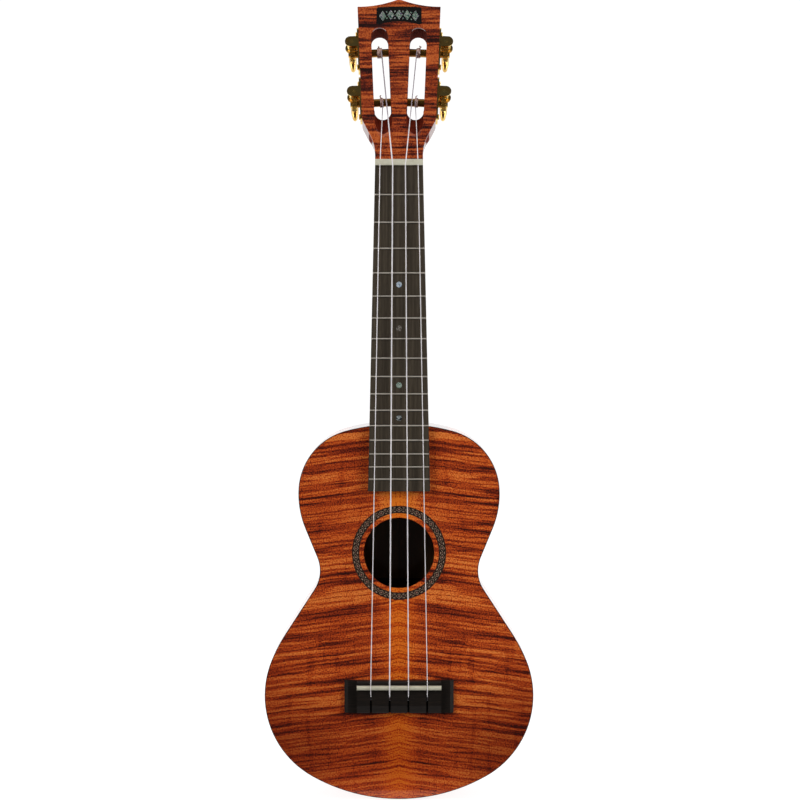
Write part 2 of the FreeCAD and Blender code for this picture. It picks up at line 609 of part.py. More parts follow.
def crest_plate_local():
    """A dark inlaid band below the crown. Its lower edge is bowed more than its upper edge."""
    half, top = CREST_WIDTH / 2, CREST_S + CREST_HEIGHT
    low_left, low_right = Vector(-half, -VENEER, CREST_S), Vector(half, -VENEER, CREST_S)
    top_right = Vector(half, -VENEER, top - CREST_TOP_RISE)
    top_left = Vector(-half, -VENEER, top - CREST_TOP_RISE)
    edges = [
        arc(low_left, Vector(0, -VENEER, CREST_S + CREST_FOOT_RISE), low_right),
        Part.makeLine(low_right, top_right),
        arc(top_right, Vector(0, -VENEER, top), top_left),
        Part.makeLine(top_left, low_left),
    ]
    band = Part.Face(Part.Wire(edges)).extrude(Vector(0, CREST_THICK, 0))
    corners = [e for e in band.Edges if e.BoundBox.YLength > CREST_THICK / 2]
    return band.makeFillet(CREST_ROUND, corners)


def crest_shells_local():
    """Shell lozenges let into the band, with small dots between them."""
    made = []
    middle = (CREST_LOZENGES - 1) / 2
    depth = Vector(0, CREST_THICK / 2, 0)
    for k in range(CREST_LOZENGES):
        x = (k - middle) * LOZENGE_PITCH
        lift = 1 - (x / (CREST_WIDTH / 2)) ** 2
        z = CREST_S + CREST_HEIGHT / 2 + (lift - 0.5) * (CREST_FOOT_RISE + CREST_TOP_RISE) / 2
        long = LOZENGE_LONG - 0.35 * lift
        made.append(prism([Vector(x - LOZENGE_HALF, -VENEER, z), Vector(x, -VENEER, z + long),
                           Vector(x + LOZENGE_HALF, -VENEER, z), Vector(x, -VENEER, z - long)], depth))
        if k:
            for up in (-1, 1):
                dot = Vector(x - LOZENGE_PITCH / 2, -VENEER, z + up * LOZENGE_LONG * 0.62)
                made.append(cylinder(CREST_DOT, CREST_THICK / 2, dot, depth))
    return made


def crest_plate():
    made = crest_plate_local()
    for shell in crest_shells_local():
        made = made.cut(shell)
    made.Placement = HEAD_PLACE
    return made


def crest_shells():
    made = Part.makeCompound([solid_of(s) for s in crest_shells_local()])
    made.Placement = HEAD_PLACE
    return made


# ---------------------------------------------------------------- tuning machines
TUNER_PLACES = {f"{level}_{hand}": (TUNER_S[level], 1 if hand == "right" else -1)
                for level in TUNER_S for hand in ("left", "right")}


def placed(shape, which):
    """A piece from the plate's own frame, set on its side of the headstock."""
    s, hand = TUNER_PLACES[which]
    local = Placement(Vector(head_half(s), ROLLER_DEPTH, s), Rotation(Vector(0, 1, 0), HEAD_TAPER))
    made = shape.copy()
    made.Placement = HEAD_PLACE.multiply(local).multiply(made.Placement)
    return made if hand > 0 else made.mirror(Vector(0, 0, 0), Vector(1, 0, 0))


def roller_reach(which):
    """How far the roller goes in from the headstock's side: across the rail and slot, into the spine."""
    s, _ = TUNER_PLACES[which]
    return head_half(s) - slot_centre(s) + SLOT_WIDTH / 2 + ROLLER_IN_SPINE


def lug(y):
    """A bearing lug that stands out of the plate's edge, round at its free end."""
    z0, z1, out = CENTRES - LUG_HALF, CENTRES + LUG_HALF, LUG_OUT - LUG_HALF
    made = box(0, out, y, y + LUG_T, z0, z1).fuse(
        cylinder(LUG_HALF, LUG_T, Vector(out, y, CENTRES), Vector(0, 1, 0)))
    return made.cut(cylinder(SHAFT_R + RUNNING, LUG_T + 2, Vector(WORM_OUT, y - 1, CENTRES), Vector(0, 1, 0)))


def tuner_plate():
    w, r = PLATE_WIDTH / 2, 2.5
    plate = box(0, PLATE_T, -w, w, -PLATE_BELOW, PLATE_ABOVE)
    corners = [e for e in plate.Edges if abs(e.tangentAt(e.FirstParameter).x) > 0.99]
    plate = plate.makeFillet(r, corners)
    for y in (-w, w - LUG_T):
        plate = plate.fuse(lug(y))
    plate = plate.removeSplitter()
    plate = plate.cut(cylinder(ROLLER_R + RUNNING, PLATE_T + 2, Vector(-1, 0, 0), Vector(1, 0, 0)))
    for z in PLATE_SCREWS:
        plate = plate.cut(cylinder(SCREW_R + 0.2, PLATE_T + 2, Vector(-1, 0, z), Vector(1, 0, 0)))
    return plate


def tuner_screw(z):
    """A slotted round-headed wood screw."""
    head = cylinder(SCREW_HEAD_R, SCREW_HEAD_H, Vector(PLATE_T, 0, z), Vector(1, 0, 0))
    rim = [e for e in head.Edges if e.BoundBox.XMin > PLATE_T + SCREW_HEAD_H / 2]
    head = head.makeFillet(0.6, [e for e in rim if e.Closed and e.BoundBox.XLength < 0.01])
    shank = cylinder(SCREW_R, SCREW_LENGTH + PLATE_T - 0.5, Vector(PLATE_T, 0, z), Vector(-1, 0, 0))
    slot = box(PLATE_T + 0.6, PLATE_T + 3, -3, 3, z - 0.25, z + 0.25)
    return head.fuse(shank).cut(slot)


def worm():
    """The worm and its shaft. A thread's middle faces the gear half way between the lugs."""
    inner = PLATE_WIDTH / 2 - LUG_T - 0.1
    root, tip = WORM_PITCH_R - DEDENDUM, WORM_PITCH_R + ADDENDUM
    half = PITCH / 4 - TOOTH_SLACK
    turns = 4
    start = -turns / 2 * PITCH
    low, high = root - 0.25, tip
    foot, top = half + (WORM_PITCH_R - low) * tan_deg(FLANK), half - ADDENDUM * tan_deg(FLANK)
    helix = Part.makeHelix(PITCH, turns * PITCH, WORM_PITCH_R)
    profile = Part.makePolygon([Vector(low, 0, -foot), Vector(high, 0, -top), Vector(high, 0, top),
                                Vector(low, 0, foot), Vector(low, 0, -foot)])
    thread = Part.Wire(helix.Edges).makePipeShell([profile], True, True)
    thread.translate(Vector(0, 0, start))
    core = Part.makeCylinder(root, 2 * inner, Vector(0, 0, -inner))
    shaft = Part.makeCylinder(SHAFT_R, PLATE_WIDTH / 2 + SHAFT_BEHIND, Vector(0, 0, -PLATE_WIDTH / 2))
    made = core.fuse(thread).fuse(shaft).removeSplitter()
    # the axis goes to +Y and the helix's starting side to -Z, towards the gear
    towards_gear = Rotation(Vector(0, 0, -1), Vector(), Vector(0, 1, 0), "ZXY")
    made.Placement = Placement(Vector(WORM_OUT, 0, CENTRES), towards_gear)
    return made


def gear():
    """A worm wheel with slanted teeth. A gap faces the worm's middle."""
    root, tip = GEAR_PITCH_R - DEDENDUM, GEAR_PITCH_R + ADDENDUM
    half = PITCH / 4 - TOOTH_SLACK
    low = root - 0.3
    widths = ((low, half + (GEAR_PITCH_R - low) * 0.30), (GEAR_PITCH_R, half), (tip, half - ADDENDUM * 0.55))
    a0 = WORM_OUT - GEAR_THICK / 2
    made = cylinder(root, GEAR_THICK, Vector(a0, 0, 0), Vector(1, 0, 0))
    for k in range(TEETH):
        middle = (k + 0.5) * 2 * math.pi / TEETH
        ends = []
        for x in (a0, a0 + GEAR_THICK):
            shift = -(x - WORM_OUT) * math.tan(LEAD) / GEAR_PITCH_R
            rim = [(r, middle + shift + w / r) for r, w in widths]
            rim += [(r, middle + shift - w / r) for r, w in reversed(widths)]
            points = [Vector(x, r * math.sin(a), r * math.cos(a)) for r, a in rim]
            ends.append(Part.makePolygon(points + points[:1]))
        made = made.fuse(Part.makeLoft(ends, True, True))
    made = made.removeSplitter()
    return made.cut(cylinder(SPIGOT_R, GEAR_THICK + 2, Vector(a0 - 1, 0, 0), Vector(1, 0, 0)))


def gear_screw():
    face = WORM_OUT + GEAR_THICK / 2
    head = cylinder(GEAR_SCREW_HEAD_R, GEAR_SCREW_HEAD_H, Vector(face, 0, 0), Vector(1, 0, 0))
    shank = cylinder(GEAR_SCREW_R, GEAR_SCREW_LENGTH, Vector(face, 0, 0), Vector(-1, 0, 0))
    slot = box(face + 0.6, face + 3, -4, 4, -0.35, 0.35)
    return head.fuse(shank).cut(slot)


def roller(which):
    """The string roller with its gear spigot, screw hole and string hole."""
    face, inner = WORM_OUT + GEAR_THICK / 2, WORM_OUT - GEAR_THICK / 2
    reach = roller_reach(which)
    barrel = cylinder(ROLLER_R, reach + inner, Vector(-reach, 0, 0), Vector(1, 0, 0))
    made = barrel.fuse(cylinder(SPIGOT_R, face - inner, Vector(inner, 0, 0), Vector(1, 0, 0)))
    made = made.cut(cylinder(GEAR_SCREW_R, GEAR_SCREW_LENGTH, Vector(face, 0, 0), Vector(-1, 0, 0)))
    hole = cylinder(0.7, 2 * ROLLER_R + 2, Vector(winding_middle(which), -ROLLER_R - 1, 0), Vector(0, 1, 0))
    return made.cut(hole)


def button():
    """A flat oval button, thinner towards its rounded rim, on a short stem that takes the shaft."""
    mid, rim, radius = BUTTON_THICK / 2, BUTTON_TIP / 2, BUTTON_LENGTH / 2
    fuller = mid - (mid - rim) * 0.3
    profile = [
        Part.makeLine(Vector(-mid, 0, 0), Vector(mid, 0, 0)),
        arc(Vector(mid, 0, 0), Vector(fuller, 0, radius / 2), Vector(rim, 0, radius - rim)),
        arc(Vector(rim, 0, radius - rim), Vector(0, 0, radius), Vector(-rim, 0, radius - rim)),
        arc(Vector(-rim, 0, radius - rim), Vector(-fuller, 0, radius / 2), Vector(-mid, 0, 0)),
    ]
    disc = Part.Face(Part.Wire(profile)).revolve(Vector(0, 0, 0), Vector(1, 0, 0), 360)
    stretch = FreeCAD.Matrix()
    stretch.scale(1, 1, 2 * BUTTON_HALF / BUTTON_LENGTH)
    oval = disc.transformGeometry(stretch)
    oval.translate(Vector(WORM_OUT, BUTTON_START + radius, CENTRES))
    along = Vector(0, 1, 0)
    stem_start = Vector(WORM_OUT, BUTTON_START + STEM_IN - STEM_LENGTH, CENTRES)
    stem = Part.makeCone(STEM_R, STEM_R - 0.5, STEM_LENGTH, stem_start, along)
    shaft_hole = cylinder(SHAFT_R, SHAFT_BEHIND, Vector(WORM_OUT, 0, CENTRES), along)
    return oval.fuse(stem).removeSplitter().cut(shaft_hole)


def winding_middle(which):
    """The middle of the winding, from the headstock's side. The string leaves the winding's inner end."""
    s, _ = TUNER_PLACES[which]
    _, d, *_, x = next(item for item in STRINGS if item[4] == which)
    return x + (WINDING_TURNS - 1) * d / 2 - head_half(s)


def winding(which):
    """The turns of string on the roller, as rings side by side that share one core."""
    d = next(item[1] for item in STRINGS if item[4] == which)
    x0 = winding_middle(which) - WINDING_TURNS * d / 2
    made = None
    for k in range(WINDING_TURNS):
        turn = Part.makeTorus(ROLLER_R + d / 2, d * 0.55, Vector(x0 + (k + 0.5) * d, 0, 0), Vector(1, 0, 0))
        made = turn if made is None else made.fuse(turn)
    return made.cut(cylinder(ROLLER_R, 60, Vector(-50, 0, 0), Vector(1, 0, 0)))


def tuner_mount_screws():
    made = [placed(tuner_screw(z), which) for which in TUNER_PLACES for z in PLATE_SCREWS]
    return Part.makeCompound([solid_of(s) for s in made])


# ---------------------------------------------------------------- strings
def head_point(x, depth, s):
    return HEAD_PLACE.multVec(Vector(x, depth, s))


def saddle_bend(d):
    return SADDLE_THICK / 2 + d / 2 + STRING_GAP


def saddle_corner(low, high, bend):
    """Where the runs to low and high would meet, if no arc of radius bend round the crown joined them."""
    middle = Vector(low.x, -SADDLE_TOP + SADDLE_THICK / 2, SADDLE_Z)
    corner = middle - Vector(0, bend, 0)
    for _ in range(8):
        before, after = (corner - low).normalize(), (high - corner).normalize()
        corner = middle + (before - after).normalize() * (bend / math.cos(before.getAngle(after) / 2))
    return corner


def string_points(string):
    """The string's corners, from its knot in the bridge over the saddle and the nut to its roller."""
    _, d, nut_x, saddle_x, which, roller_x = string
    s, hand = TUNER_PLACES[which]
    r = d / 2
    on_nut = Vector(nut_x, -NUT_STRING_DEPTH, NUT_Z)
    lay = ROLLER_R + d * 1.05 + r + 0.12
    axis = head_point(hand * roller_x, ROLLER_DEPTH, s)
    run = axis - on_nut
    slope = math.atan2(run.y, run.z)
    reach = math.hypot(run.y, run.z)
    climb = slope - math.asin(lay / reach)
    end = Vector(hand * roller_x, axis.y - lay * math.cos(climb), axis.z + lay * math.sin(climb))
    slot_top = Vector(saddle_x, -BRIDGE_HEIGHT + r, SADDLE_Z - STRING_DIVE)
    knot = Vector(saddle_x, -KNOT_HEIGHT, SADDLE_Z - KNOT_BEHIND)
    on_saddle = saddle_corner(slot_top, on_nut, saddle_bend(d))
    return [knot, slot_top, on_saddle, on_nut, end]


def string_tube(string, radius):
    """A tube along the string: straight runs joined by tangent arcs."""
    points = string_points(string)
    bend = (None, SLOT_BEND, saddle_bend(string[1]), NUT_BEND, None)
    edges, at = [], points[0]
    for k in range(1, len(points) - 1):
        before, after = (points[k] - points[k - 1]).normalize(), (points[k + 1] - points[k]).normalize()
        turn = before.getAngle(after)
        cut = bend[k] * math.tan(turn / 2)
        a, b = points[k] - before * cut, points[k] + after * cut
        inward = (after - before).normalize()
        centre = points[k] + inward * (bend[k] / math.cos(turn / 2))
        edges += [Part.makeLine(at, a), arc(a, centre - inward * bend[k], b)]
        at = b
    edges.append(Part.makeLine(at, points[-1]))
    first = (points[1] - points[0]).normalize()
    profile = Part.Wire([Part.makeCircle(radius, points[0], first)])
    return Part.Wire(edges).makePipeShell([profile], True, False)


def string_knots():
    """A simple knot at each string's end, as a bead in its bore."""
    made = []
    for string in STRINGS:
        bead = Part.makeSphere(KNOT_RADIUS, string_points(string)[0]).cut(string_tube(string, string[1] / 2))
        made.append(solid_of(bead))
    return Part.makeCompound(made)


# ---------------------------------------------------------------- export
def export(name, shape):
    shape = solid_of(shape)
    shape.exportStep(f"parts/{name}.step")
    print(f"{name:22s} solids {len(shape.Solids):2d}  volume {shape.Volume:10.2f}  valid {shape.isValid()}")


def main():
    os.makedirs("parts", exist_ok=True)
    single = (
        soundboard, rosette, back_plate, neck_block, tail_block, soundboard_braces, bridge_patch, back_braces,
        bridge, saddle, neck, neck_bolt, headstock_veneer, crest_plate, crest_shells, fingerboard, frets,
        position_dots, nut, string_knots, tuner_mount_screws,
    )
    for make in single:
        export(make.__name__, make())
    for hand, which in (("left", -1), ("right", 1)):
        export(f"side_{hand}", side(which))
        export(f"lining_front_{hand}", lining(which, True))
        export(f"lining_back_{hand}", lining(which, False))
    for string in STRINGS:
        export(string[0], string_tube(string, string[1] / 2))
    alike = {"tuner_plate": tuner_plate(), "worm": worm(), "button": button(), "gear": gear(),
             "gear_screw": gear_screw()}
    for which in TUNER_PLACES:
        for name, shape in alike.items():
            export(f"{name}_{which}", placed(shape, which))
        export(f"roller_{which}", placed(roller(which), which))
        export(f"winding_{which}", placed(winding(which), which))


main()
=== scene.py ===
import bpy
import json
import math
from typing import NamedTuple
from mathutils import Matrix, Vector


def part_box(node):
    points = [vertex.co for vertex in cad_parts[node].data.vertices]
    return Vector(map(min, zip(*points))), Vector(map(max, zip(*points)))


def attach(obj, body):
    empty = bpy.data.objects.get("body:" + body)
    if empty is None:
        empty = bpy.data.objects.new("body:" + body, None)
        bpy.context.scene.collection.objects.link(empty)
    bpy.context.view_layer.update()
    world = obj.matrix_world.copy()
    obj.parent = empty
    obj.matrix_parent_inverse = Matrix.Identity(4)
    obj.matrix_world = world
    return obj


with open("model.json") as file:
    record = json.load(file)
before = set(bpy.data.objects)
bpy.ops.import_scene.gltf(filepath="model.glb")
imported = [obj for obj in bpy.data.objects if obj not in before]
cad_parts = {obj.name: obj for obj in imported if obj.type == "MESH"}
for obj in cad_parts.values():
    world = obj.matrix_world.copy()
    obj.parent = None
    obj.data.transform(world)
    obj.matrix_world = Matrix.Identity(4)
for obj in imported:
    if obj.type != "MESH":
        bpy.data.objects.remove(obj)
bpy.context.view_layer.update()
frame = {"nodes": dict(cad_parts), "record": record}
MM = 0.001

# ---------------------------------------------------------------- places, from the frame
NODES = frame["nodes"]
TUNERS = ("lower_left", "lower_right", "upper_left", "upper_right")
HOLE_Z = sum(corner[2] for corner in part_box("rosette")) / 2
HOLE_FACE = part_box("rosette")[0][1]
NUT_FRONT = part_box("nut")[0][2]
HEAD_TILT = math.radians(16.0)
BODY_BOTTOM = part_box("soundboard")[0][2]


# ---------------------------------------------------------------- node helpers
class Tree:
    """Builds one node material. Its methods add nodes, and return the output socket if there is one."""

    def __init__(self, name):
        self.material = bpy.data.materials.new(name)
        self.material.use_nodes = True
        self.nodes = self.material.node_tree.nodes
        self.links = self.material.node_tree.links
        self.nodes.clear()
        self.shader = self.nodes.new("ShaderNodeBsdfPrincipled")
        output = self.nodes.new("ShaderNodeOutputMaterial")
        self.links.new(self.shader.outputs[0], output.inputs[0])
        coords = self.nodes.new("ShaderNodeTexCoord")
        self.position = coords.outputs["Object"]
        self.normal = coords.outputs["Normal"]

    def put(self, value, socket):
        if isinstance(value, bpy.types.NodeSocket):
            self.links.new(value, socket)
        elif isinstance(value, (tuple, list)) and len(value) == 3 and socket.type == "RGBA":
            socket.default_value = (*value, 1.0)
        else:
            socket.default_value = value

    def set(self, **inputs):
        for name, value in inputs.items():
            self.put(value, self.shader.inputs[name.replace("_", " ")])

    def math(self, operation, a, b=0.0):
        node = self.nodes.new("ShaderNodeMath")
        node.operation = operation
        for socket, value in zip(node.inputs, (a, b)):
            self.put(value, socket)
        return node.outputs[0]

    def add(self, *terms):
        total = terms[0]
        for term in terms[1:]:
            total = self.math("ADD", total, term)
        return total

    def times(self, a, b):
        return self.math("MULTIPLY", a, b)

    def less(self, a, b):
        return self.math("SUBTRACT", a, b)

    def over(self, a, b):
        return self.math("DIVIDE", a, b)

    def size(self, value):
        return self.math("ABSOLUTE", value)

    def split(self, vector):
        node = self.nodes.new("ShaderNodeSeparateXYZ")
        self.put(vector, node.inputs[0])
        return node.outputs[0], node.outputs[1], node.outputs[2]

    def join(self, x, y, z):
        node = self.nodes.new("ShaderNodeCombineXYZ")
        for socket, value in zip(node.inputs, (x, y, z)):
            self.put(value, socket)
        return node.outputs[0]

    def noise(self, vector, scale=1.0, detail=2.0, roughness=0.5, distortion=0.0):
        node = self.nodes.new("ShaderNodeTexNoise")
        self.put(vector, node.inputs["Vector"])
        node.inputs["Scale"].default_value = scale
        node.inputs["Detail"].default_value = detail
        node.inputs["Roughness"].default_value = roughness
        node.inputs["Distortion"].default_value = distortion
        return node.outputs["Fac"]

    def smooth(self, value, low, high, out_low=0.0, out_high=1.0):
        node = self.nodes.new("ShaderNodeMapRange")
        node.interpolation_type = "SMOOTHSTEP"
        for socket, number in zip(node.inputs, (value, low, high, out_low, out_high)):
            self.put(number, socket)
        return node.outputs[0]

    def ramp(self, value, stops):
        node = self.nodes.new("ShaderNodeValToRGB")
        self.put(value, node.inputs[0])
        elements = node.color_ramp.elements
        while len(elements) < len(stops):
            elements.new(0.5)
        for element, (place, colour) in zip(elements, stops):
            element.position = place
            element.color = (*colour, 1.0)
        return node.outputs[0]

    def mix(self, share, a, b, kind="MIX"):
        node = self.nodes.new("ShaderNodeMix")
        node.data_type = "RGBA"
        node.blend_type = kind
        self.put(share, node.inputs[0])
        self.put(a, node.inputs[6])
        self.put(b, node.inputs[7])
        return node.outputs[2]

    def bump(self, height, strength, distance):
        node = self.nodes.new("ShaderNodeBump")
        node.inputs["Strength"].default_value = strength
        node.inputs["Distance"].default_value = distance
        self.put(height, node.inputs["Height"])
        self.links.new(node.outputs[0], self.shader.inputs["Normal"])


def srgb(r, g, b):
    """A colour given as 0 to 255 screen values, as linear light."""
    return tuple(((v / 255 + 0.055) / 1.055) ** 2.4 if v > 10 else v / 255 / 12.92 for v in (r, g, b))


# ---------------------------------------------------------------- woods
def streaks(tree, across, along, depth, period, length, cut, dark, light, detail=1.0):
    """Streaks `length` long across, about one a `period` up `along`, taken from the noise at `cut`.

    0 where the noise is below dark, 1 where it is above light."""
    slice_at = tree.add(tree.over(depth, length), cut)
    place = tree.join(tree.over(across, length), slice_at, tree.over(along, period))
    return tree.smooth(tree.noise(place, 1.0, detail, 0.55), dark, light)


class Layer(NamedTuple):
    """One layer of the curl figure: how streaks makes it, and its weight in the whole."""

    length: float
    cut: float
    dark: float
    light: float
    weight: float


BANDS = Layer(140 * MM, 11.0, 0.40, 0.60, 0.17)
STREAKS = Layer(105 * MM, 23.0, 0.42, 0.50, 0.25)
LINES = Layer(60 * MM, 37.0, 0.43, 0.51, 0.29)
GROUND = Layer(22 * MM, 51.0, 0.25, 0.75, 0.22)
GROUND_PERIOD, GROUND_DETAIL, DARKEST = 2.8 * MM, 3.0, 0.03
WANDER, WANDER_ACROSS, WANDER_ALONG = 2.6 * MM, 30 * MM, 45 * MM
# of the bands, the streaks and the lines
TOP_PERIODS = (23 * MM, 4.6 * MM, 1.9 * MM)
VENEER_PERIODS = (13 * MM, 4.6 * MM, 2.0 * MM)


def flame(tree, across, along, depth=0.0, periods=TOP_PERIODS, reach=1.0, dark=1.0):
    """Curl figure: dark bands, streaks and fine lines over a mottled ground. From 0, dark, to 1, light."""
    place = tree.join(tree.over(across, WANDER_ACROSS), depth, tree.over(along, WANDER_ALONG))
    along = tree.add(along, tree.times(tree.noise(place), WANDER))
    ground = streaks(tree, across, along, depth, GROUND_PERIOD, GROUND.length * reach, GROUND.cut,
                     GROUND.dark, GROUND.light, GROUND_DETAIL)
    total = tree.add(DARKEST, tree.times(ground, GROUND.weight))
    for layer, period in zip((BANDS, STREAKS, LINES), periods):
        length = layer.length * reach
        figure = streaks(tree, across, along, depth, period, length, layer.cut, layer.dark, layer.light)
        total = tree.add(total, tree.times(figure, layer.weight * dark))
    return total


def scaled(tree, size_x, size_y, size_z):
    """The place, scaled so that one unit is size_x by size_y by size_z."""
    x, y, z = tree.split(tree.position)
    return tree.join(tree.over(x, size_x), tree.over(y, size_y), tree.over(z, size_z))


def pores(tree, size, stretch):
    """Small dashes along Z. Returns 0 in a pore and 1 between them."""
    speck = tree.noise(scaled(tree, size, size, size * stretch), 1.0, 2.0, 0.7)
    return tree.smooth(speck, 0.36, 0.56)


PORE_SIZE, PORE_STRETCH, PORE_MEAN = 0.85 * MM, 1.3, 0.62
SIDE_PORE_SIZE, SIDE_PORE_STRETCH = 0.6 * MM, 3.0
PORE_BUMP, PORE_DEPTH = 0.04, 0.15 * MM


def speckled(tree, value, stipple, amount):
    """The value, darker in the pores and lighter between them by as much, taken over the whole."""
    return tree.add(value, tree.times(tree.less(stipple, PORE_MEAN), amount))


KOA = (
    (0.08, srgb(46, 14, 11)), (0.28, srgb(94, 28, 13)), (0.46, srgb(150, 50, 18)),
    (0.66, srgb(198, 77, 26)), (0.84, srgb(226, 105, 38)), (1.00, srgb(244, 142, 64)),
)
INSIDE_BROWN, RIM_SHADE_BROWN, SEAM_BROWN = srgb(124, 94, 64), srgb(48, 17, 10), srgb(90, 60, 50)
WOOD_ROUGHNESS, BARE_ROUGHNESS = 0.45, 0.95


def lacquer(tree, gloss=0.08):
    """A clear gloss finish over the wood."""
    tree.set(Roughness=WOOD_ROUGHNESS, Specular_IOR_Level=0.1)
    tree.set(Coat_Weight=1.0, Coat_Roughness=gloss, Coat_IOR=1.38)


def leave_bare(tree, share):
    """Rough wood with no finish on it, as far as share says."""
    roughness = tree.add(WOOD_ROUGHNESS, tree.times(share, BARE_ROUGHNESS - WOOD_ROUGHNESS))
    tree.set(Roughness=roughness, Coat_Weight=tree.less(1.0, share))


def tinted(tree, share, colour, tint):
    """The colour, multiplied by a tint as far as share says."""
    return tree.mix(share, colour, tree.mix(1.0, colour, tint, "MULTIPLY"))


def top_figure(tree, x, z, off, glow, stipple):
    """The curl falls from the centre line to both sides. Dark rays fan out above the soundhole."""
    skew, slope, peak_slope, peak_half = 0.10, 0.12, 0.16, 9 * MM
    across = tree.add(off, tree.times(x, skew))
    peak = tree.times(tree.math("MINIMUM", off, peak_half), peak_slope)
    along = tree.add(z, peak, tree.times(off, slope))
    calm = tree.smooth(off, 0.0, 20 * MM, 0.74, 1.0)
    value = tree.add(tree.times(flame(tree, across, along), calm), tree.times(glow, 0.36))

    smudge = tree.noise(tree.join(tree.over(across, 7 * MM), 5.0, tree.over(z, 50 * MM)), 1.0, 2.0)
    value = tree.less(value, tree.times(tree.smooth(smudge, 0.54, 0.72), 0.13))
    value = speckled(tree, value, stipple, 0.46)

    fan_centre, fan_pitch = HOLE_Z - 10 * MM, 34.0
    fan = tree.times(tree.over(x, tree.less(z, fan_centre)), fan_pitch)
    rays = tree.smooth(tree.noise(tree.join(fan, 2.0, 7.0), 1.0, 1.0), 0.36, 0.5, 1.0, 0.0)
    near = tree.times(tree.smooth(off, 9 * MM, 24 * MM, 1.0, 0.0),
                      tree.smooth(z, HOLE_Z + 20 * MM, HOLE_Z + 32 * MM))
    value = tree.add(value, tree.times(near, 0.30))
    return tree.less(value, tree.times(tree.times(rays, near), 0.30))


def top_material():
    """Bookmatched curly wood, gold along the centre, duller to the sides and the foot, with painted shade
    darkening the left half and the edges that turn away from the front.
    """
    tree = Tree("top_wood")
    x, _, z = tree.split(tree.position)
    off = tree.size(x)
    glow = tree.smooth(off, 2 * MM, 19 * MM, 1.0, 0.0)
    stipple = pores(tree, PORE_SIZE, PORE_STRETCH)
    colour = tree.ramp(top_figure(tree, x, z, off, glow, stipple), KOA)
    foot = tree.smooth(z, BODY_BOTTOM + 110 * MM, BODY_BOTTOM + 20 * MM)
    tints = (
        (tree.times(glow, 0.8), srgb(255, 232, 120)),
        (tree.smooth(off, 60 * MM, 105 * MM, 0.0, 0.5), srgb(196, 156, 152)),
        (foot, srgb(204, 186, 172)),
        (tree.times(foot, tree.smooth(off, 30 * MM, 70 * MM)), srgb(216, 206, 206)),
        # painted shade: the left half of the top is darker and redder than the right
        (tree.smooth(x, 60 * MM, -60 * MM, 0.0, 0.35), srgb(228, 214, 206)),
    )
    for share, tint in tints:
        colour = tinted(tree, share, colour, tint)
    _, ny, _ = tree.split(tree.normal)
    # painted shade: the top's edges, outside and round the soundhole, get a dark brown where they turn away
    # from the front; there the wood is also rough, with no coat
    rim_shade = tree.smooth(tree.size(ny), 0.90, 0.995, 1.0, 0.0)
    colour = tree.mix(rim_shade, colour, RIM_SHADE_BROWN)
    tree.set(Base_Color=tree.mix(tree.smooth(ny, 0.5, 0.9), colour, INSIDE_BROWN))
    lacquer(tree)
    leave_bare(tree, rim_shade)
    tree.bump(stipple, PORE_BUMP, PORE_DEPTH)
    return tree.material


def body_material():
    """Sides and back: the same curly wood, with a seam at the centre, and plain brown inside the back."""
    tree = Tree("body_wood")
    slope, depth_share = 0.10, 0.5
    seam_from, seam_to, seam_share = 0.25 * MM, 0.5 * MM, 0.7
    x, y, z = tree.split(tree.position)
    off = tree.size(x)
    value = flame(tree, off, tree.add(z, tree.times(off, slope)), tree.times(y, depth_share))
    stipple = pores(tree, SIDE_PORE_SIZE, SIDE_PORE_STRETCH)
    value = speckled(tree, tree.times(value, 0.72), stipple, 0.22)
    _, ny, _ = tree.split(tree.normal)
    colour = tree.mix(tree.smooth(ny, -0.9, -0.5, 1.0, 0.0), tree.ramp(value, KOA), INSIDE_BROWN)
    seam = tree.smooth(off, seam_from, seam_to, seam_share, 0.0)
    tree.set(Base_Color=tinted(tree, seam, colour, SEAM_BROWN))
    lacquer(tree)
    tree.bump(stipple, PORE_BUMP, PORE_DEPTH)
    return tree.material


def neck_material():
    """Straight-grained brown wood with long pores, bare in the headstock's middle, where the slots are, and
    darker and redder there with painted shade.
    """
    tree = Tree("neck_wood")
    bare_half, blend = 22 * MM, 0.5 * MM
    grain = tree.noise(scaled(tree, 3.2 * MM, 3.2 * MM, 90 * MM), 1.0, 3.0, 0.6, 0.4)
    stipple = pores(tree, 0.5 * MM, 9.0)
    value = tree.add(tree.times(grain, 0.75), tree.times(stipple, 0.18))
    colour = tree.ramp(value, ((0.1, srgb(52, 20, 12)), (0.45, srgb(96, 38, 20)),
                               (0.7, srgb(124, 54, 28)), (1.0, srgb(150, 74, 38))))
    x, _, z = tree.split(tree.position)
    middle = tree.smooth(tree.size(x), bare_half, bare_half + blend, 1.0, 0.0)
    bare_shaded_slots = tree.times(middle, tree.smooth(z, 0.0, 2 * MM))
    # painted shade: the slot walls in the headstock's middle are darker and redder; there the wood is also
    # rough, with no coat
    tree.set(Base_Color=tinted(tree, tree.times(bare_shaded_slots, 0.8), colour, srgb(228, 160, 140)))
    lacquer(tree, 0.14)
    leave_bare(tree, bare_shaded_slots)
    tree.bump(stipple, 0.06, 0.2 * MM)
    return tree.material


